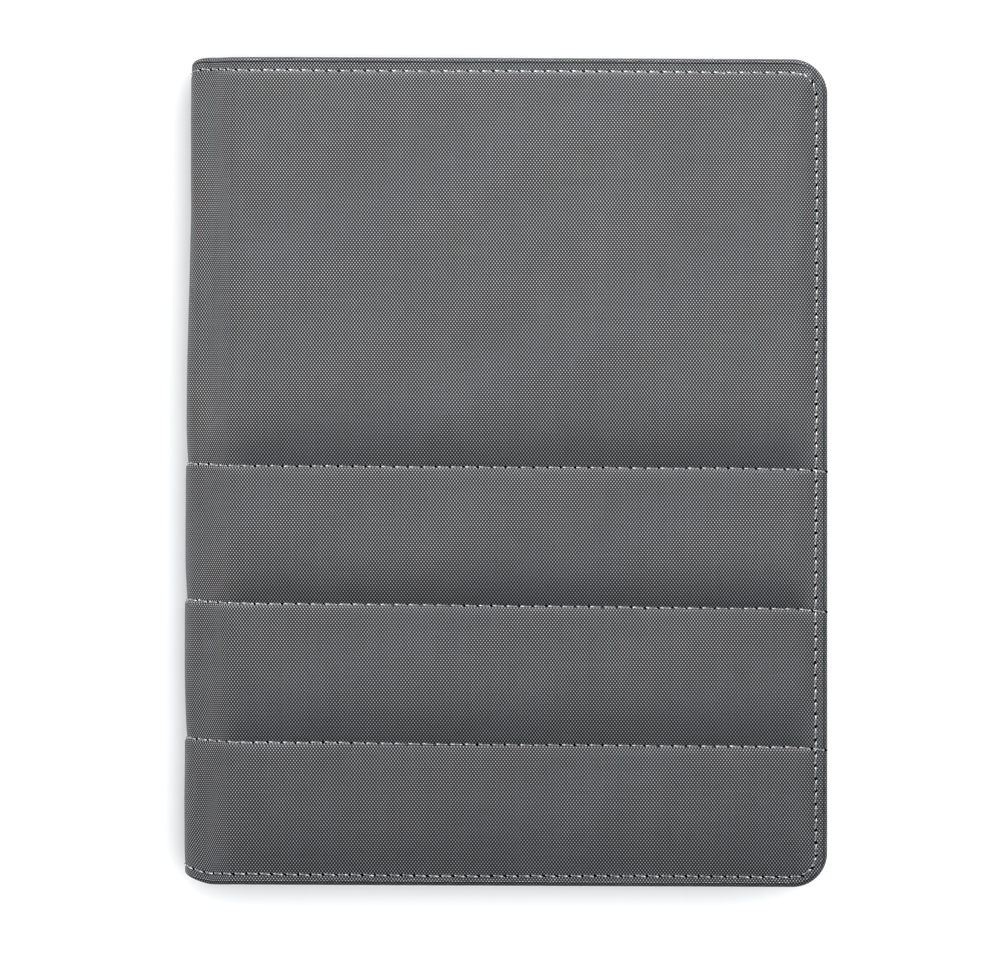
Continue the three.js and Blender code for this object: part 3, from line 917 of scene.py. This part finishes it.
# ---------------------------------------- padding
def pad(side, title, k):
    """The wadding of one quilted panel of a cover and half the spine, between its sewing lines."""
    lines = [HEAD - HEAD_MARGIN, *SEAMS, -HEAD + TAIL_MARGIN]
    girths = stations(0, FORE - FORE_MARGIN - PAD_MARGIN, PAD_STEP)
    heights = stations(lines[k + 1] + PAD_MARGIN, lines[k] - PAD_MARGIN, PAD_STEP)

    def floor_depth(girth, y):
        return np.maximum(PAD_FLOOR, base_relief(girth, y, side) + PAD_FLOOR_GAP)

    piece = slab(f"{title}_pad_{k + 1}", girths, heights, side, floor_depth, PAD_LEAST, WADDING)
    # The slab's second layer of points is then raised to the crest under the shell.
    gg, yy = np.meshgrid(girths * side, heights, indexing="ij")
    crest = np.minimum(base_relief(gg, yy, side) + PAD_CREST_GAP, floor_depth(gg, yy) - PAD_LEAST)
    raised = place(gg, yy, crest).reshape(-1, 3) * MM
    for index, point in enumerate(raised):
        piece.data.vertices[len(raised) + index].co = point
    bend(piece, side)
    return piece


# ---------------------------------------- stitching
def tube_faces(count):
    """Faces of count tubes, one after another, each a stack of rings of TUBE_SIDES points."""
    ring = np.arange(TUBE_SEGMENTS) * TUBE_SIDES
    first = np.arange(count)[:, None] * (TUBE_SEGMENTS + 1) * TUBE_SIDES + ring
    corner = np.arange(TUBE_SIDES)
    here = first[..., None] + corner
    there = first[..., None] + (corner + 1) % TUBE_SIDES
    return np.stack([here, there, there + TUBE_SIDES, here + TUBE_SIDES], axis=-1).reshape(-1, 4)


def needle_holes(holes, lead, cross, tilt, depth, up, size):
    """The points and faces of a dark fan in each needle hole, painted shade for the hole's depth, longest
    along the row.
    """
    angles = np.linspace(0, 2 * np.pi, HOLE_SIDES, endpoint=False)
    along = size[0] * np.cos(angles)
    across = size[1] * np.sin(angles) - along * (tilt * HOLE_SLANT)
    g = holes[:, None, 0] + lead[:, 0:1] * along + cross[:, 0:1] * across
    y = holes[:, None, 1] + lead[:, 1:2] * along + cross[:, 1:2] * across
    rims = place(g, y, depth(g, y) + up * HOLE_RIM_LIFT)
    centres = place(*holes.T, depth(*holes.T) + up * HOLE_CENTRE_LIFT)
    points = np.concatenate([centres[:, None], rims], axis=1).reshape(-1, 3)
    first = np.arange(len(holes))[:, None] * (HOLE_SIDES + 1)
    corner = first + 1 + np.arange(HOLE_SIDES)
    after = first + 1 + (np.arange(HOLE_SIDES) + 1) % HOLE_SIDES
    fans = np.stack(np.broadcast_arrays(first, corner, after), axis=-1)
    return points, fans.reshape(-1, 3)


def sew(name, holes, depth, up, draws, thread=0.14, hole=(0.31, 0.22)):
    """A row of lockstitches. Each is an arc of two-ply thread from one needle hole to the next. up is -1
    where the row is seen from the shell's side and +1 where it's seen from inside."""
    holes = holes + draws.normal(0, HOLE_JITTER, holes.shape)
    span = np.diff(holes, axis=0)
    count = len(span)
    length = np.hypot(*span.T)[:, None]
    lead = span / length
    cross = np.stack([-lead[:, 1], lead[:, 0]], axis=1)
    # The middle line of each stitch, over u from hole to hole: it dives at both ends and lies aslant.
    u = np.linspace(*STITCH_ENDS, TUBE_SEGMENTS + 1)
    rise = -STITCH_DIVE + (STITCH_DIVE + STITCH_LIFT) * np.sin(np.pi * u) ** STITCH_ROUNDING
    rise = rise * (1 + STITCH_UNEVENNESS * draws.normal(0, 1, (count, 1)))
    tilt = STITCH_SLANT + draws.normal(0, SLANT_UNEVENNESS, (count, 1))
    lateral = (0.5 - u) * 2 * tilt
    base = holes[:-1, None, :] + span[:, None, :] * u[None, :, None] + cross[:, None, :] * lateral[..., None]
    surface = depth(base[..., 0], base[..., 1])
    # The plies wind round that line. The axes from here on are stitch, ply, place along and place around.
    start_turn = draws.uniform(0, 2 * np.pi, (count, 1, 1))
    turn = start_turn + 2 * np.pi * PLY_TURNS * u + np.pi * np.arange(PLIES)[:, None]
    around = np.linspace(0, 2 * np.pi, TUBE_SIDES, endpoint=False)
    ply_reach, ply_radius = thread * 0.46, thread * 0.58
    side_offset = ply_reach * np.cos(turn)[..., None] + ply_radius * np.cos(around)
    up_offset = ply_reach * np.sin(turn)[..., None] + ply_radius * np.sin(around)
    g = base[:, None, :, None, 0] + cross[:, 0][:, None, None, None] * side_offset
    y = base[:, None, :, None, 1] + cross[:, 1][:, None, None, None] * side_offset
    d = surface[:, None, :, None] + up * (rise[:, None, :, None] + up_offset)
    tubes = place(g, y, d).reshape(-1, 3)
    # The thread material reads its place along the stitch, round it and from its far end.
    length = length[:, :, None, None]
    along = np.broadcast_to(u[:, None] * length, g.shape)
    ring = np.broadcast_to(around / (2 * np.pi) + np.arange(count)[:, None, None, None] * 0.37, g.shape)
    marks = np.stack([along, ring, length - along], axis=-1).reshape(-1, 3)
    lead, cross, tilt = (np.concatenate([v, v[-1:]]) for v in (lead, cross, tilt))
    fans, fan_faces = needle_holes(holes, lead, cross, tilt, depth, up, hole)
    sides = tube_faces(count * PLIES)
    faces = [*sides, *(fan_faces + len(tubes))]
    cloth = np.concatenate([marks, np.zeros_like(fans)])
    piece = make_object(name, np.concatenate([tubes, fans]), faces, [THREAD, HOLE_SHADE], cloth)
    is_hole = np.zeros(len(piece.data.polygons), np.int32)
    is_hole[len(sides):] = 1
    piece.data.polygons.foreach_set("material_index", is_hole)
    return piece


def inner_rows(side, title, draws):
    """The rows seen from inside: the perimeter, the pockets' bound mouths and the card pockets' side."""

    def depth(girth, y):
        return inner_face(girth, y, side)

    row = sew(f"{title}_inner_perimeter_stitches", PERIMETER_HOLES[side], depth, 1, draws)
    bend(row, side)
    reach = LINING_HEAD - INNER_ROW_MARGIN
    across = MOUTH + BINDING_ROW
    lines = {f"{title}_pocket_binding_stitches": ((across, -reach), (across, reach))}
    if side > 0:
        near = CARD_SIDE + INNER_ROW_MARGIN
        far = LINING_FORE - INNER_ROW_MARGIN
        for k, mouth in enumerate(CARD_MOUTHS):
            y = mouth - BINDING_ROW
            lines[f"card_binding_stitches_{k + 1}"] = ((near, y), (far, y))
        lines["card_side_stitches"] = ((CARD_SIDE_ROW, -HEAD + 2.6), (CARD_SIDE_ROW, CARD_MOUTHS[0] - 0.5))
    for name, ends in lines.items():
        holes = resample(np.array(ends) * (side, 1), QUILT_PITCH)
        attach(sew(name, holes, depth, 1, draws), f"{title}_cover")


# ---------------------------------------- the wallet
def padded_cover(side, title, draws):
    """The shell, lining, padding and outer rows of one cover and half the spine."""

    def depth(girth, y):
        return relief(girth, y, side)

    def stand_in(piece, node, *spine_nodes):
        """The front's pieces stand for the spine's nodes as well."""
        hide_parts(f"{title}_{node}", *(spine_nodes if side > 0 else ()))

    stand_in(shell(side, title), "outer_fabric", "spine_outer_fabric")
    stand_in(lining(side, title), "lining", "spine_lining")
    for k in range(4):
        stand_in(pad(side, title, k), f"wadding_{k + 1}", f"spine_wadding_{k + 1}")
    holes = PERIMETER_HOLES[side]
    row = sew(f"{title}_perimeter_stitches", holes, depth, -1, draws, thread=0.13, hole=(0.4, 0.21))
    bend(row, side)
    stand_in(row, "perimeter_thread", "spine_head_thread", "spine_tail_thread")
    for k in range(3):
        row = sew(f"{title}_quilt_stitches_{k + 1}", QUILT_HOLES[k, side], depth, -1, draws)
        bend(row, side)
        stand_in(row, f"quilt_thread_{k + 1}", f"spine_quilt_thread_{k + 1}")


def full_pocket(side, title, node):
    """The full-height pocket of one cover, open towards the spine, with its bound mouth."""

    def depth(girth, y):
        return pocket_face(girth, y, side)

    girths = stations(MOUTH + MOUTH_INSET, LINING_FORE, PANEL_STEP)
    heights = stations(-LINING_HEAD, LINING_HEAD, PANEL_STEP)
    panel = slab(f"{node}_cloth", girths, heights, side, depth, PANEL_THICKNESS, LINING, LINING_INSET)
    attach(panel, f"{title}_cover")
    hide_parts(node)
    ends = ((MOUTH, -LINING_HEAD), (MOUTH, LINING_HEAD))
    tape = binding(f"{node}_binding", f"{title}_cover", side, *ends, (1, 0), depth)
    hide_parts(f"{node}_hem")


def card_pocket(k):
    """One stepped card pocket of the front cover, open towards the head, with its bound mouth."""
    mouth = CARD_MOUTHS[k]

    def depth(girth, y):
        return card_face(k, girth, y)

    girths = stations(CARD_SIDE, LINING_FORE, PANEL_STEP)
    heights = stations(-LINING_HEAD, mouth - MOUTH_INSET, PANEL_STEP)
    name = f"card_pocket_cloth_{k + 1}"
    panel = slab(name, girths, heights, 1, depth, CARD_THICKNESS, LINING, LINING_INSET)
    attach(panel, "front_cover")
    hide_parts(f"card_pocket_{k + 1}")
    ends = ((CARD_SIDE, mouth), (LINING_FORE, mouth))
    tape = binding(f"card_binding_{k + 1}", "front_cover", 1, *ends, (0, -1), depth)
    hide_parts(f"card_pocket_hem_{k + 1}")


for side, title, node in ((1, "front", "slip_pocket"), (-1, "back", "passport_sleeve")):
    draws = np.random.default_rng(70 + side)
    padded_cover(side, title, draws)
    full_pocket(side, title, node)
    inner_rows(side, title, draws)

for k in range(3):
    card_pocket(k)

for title in ("front", "back"):
    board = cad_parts[f"{title}_stiffener"]
    board.data.materials.clear()
    board.data.materials.append(BOARD)

# ---------------------------------------- floor, light and camera
FLOOR_REACH = 3.0
floor_mesh = bpy.data.meshes.new("floor")
floor_corners = [(a * FLOOR_REACH, b * FLOOR_REACH, 0) for a, b in ((-1, -1), (1, -1), (1, 1), (-1, 1))]
floor_mesh.from_pydata(floor_corners, [], [(0, 1, 2, 3)])
floor = bpy.data.objects.new("floor", floor_mesh)
bpy.context.scene.collection.objects.link(floor)
floor_material, floor_shader = new_material("floor_white")
floor_shader.inputs["Base Color"].default_value = (0.9, 0.9, 0.9, 1)
floor_shader.inputs["Roughness"].default_value = 0.9
floor_shader.inputs["Specular IOR Level"].default_value = 0.1
floor_mesh.materials.append(floor_material)


def receivers(name, members):
    """A collection of the things that a light falls on."""
    group = bpy.data.collections.new(name)
    for member in members:
        group.objects.link(member)
    return group


meshes = [item for item in bpy.context.scene.objects if item.type == "MESH"]
WALLET = receivers("lit_wallet", [item for item in meshes if item != floor])
GROUND = receivers("lit_floor", [floor])


def softbox(name, place_m, aim_m, size_m, power, falls_on, spread=180):
    """A rectangular softbox. A spread under 180 degrees is a grid over it, which narrows the beam."""
    data = bpy.data.lights.new(name, "AREA")
    data.shape = "RECTANGLE"
    data.size, data.size_y = size_m
    data.energy = power
    data.spread = math.radians(spread)
    lamp = bpy.data.objects.new(name, data)
    lamp.location = place_m
    lamp.rotation_euler = (Vector(aim_m) - Vector(place_m)).to_track_quat("-Z", "Y").to_euler()
    lamp.light_linking.receiver_collection = falls_on
    bpy.context.scene.collection.objects.link(lamp)


softbox("key_softbox", (0.0, 0.77, 0.56), (0.0, 0.065, 0.0), (0.9, 0.22), 1.27, WALLET, spread=20)
softbox("left_softbox", (-0.46, 0.0, 0.86), (0, 0, 0), (0.5, 0.4), 2.3, WALLET)
softbox("right_softbox", (0.66, 0.05, 0.72), (0, 0, 0), (0.5, 0.4), 2.0, WALLET)
softbox("floor_softbox", (0.2, 0.12, 1.0), (0, 0, 0), (1.9, 1.9), 36.0, GROUND)

world = bpy.data.worlds.new("studio")
world.use_nodes = True
world.node_tree.nodes["Background"].inputs["Color"].default_value = (0.62, 0.78, 1.0, 1)
world.node_tree.nodes["Background"].inputs["Strength"].default_value = 0.07
bpy.context.scene.world = world
bpy.context.scene.view_settings.view_transform = "Standard"

# The picture's width in metres at the level of the sewing rows, and the camera's place and turn.
VIEW_WIDTH = 0.1739
CAMERA_PLACE = (-0.00095, -0.00095, 0.95)
CAMERA_TURN = 0.25
SENSOR_WIDTH = 36
camera_data = bpy.data.cameras.new("camera")
camera_data.sensor_width = SENSOR_WIDTH
camera_data.lens = SENSOR_WIDTH * (CAMERA_PLACE[2] - (THICKNESS - SINK) * MM) / VIEW_WIDTH
camera = bpy.data.objects.new("camera", camera_data)
camera.location = CAMERA_PLACE
camera.rotation_euler = (0, 0, math.radians(CAMERA_TURN))
bpy.context.scene.collection.objects.link(camera)
bpy.context.scene.camera = camera
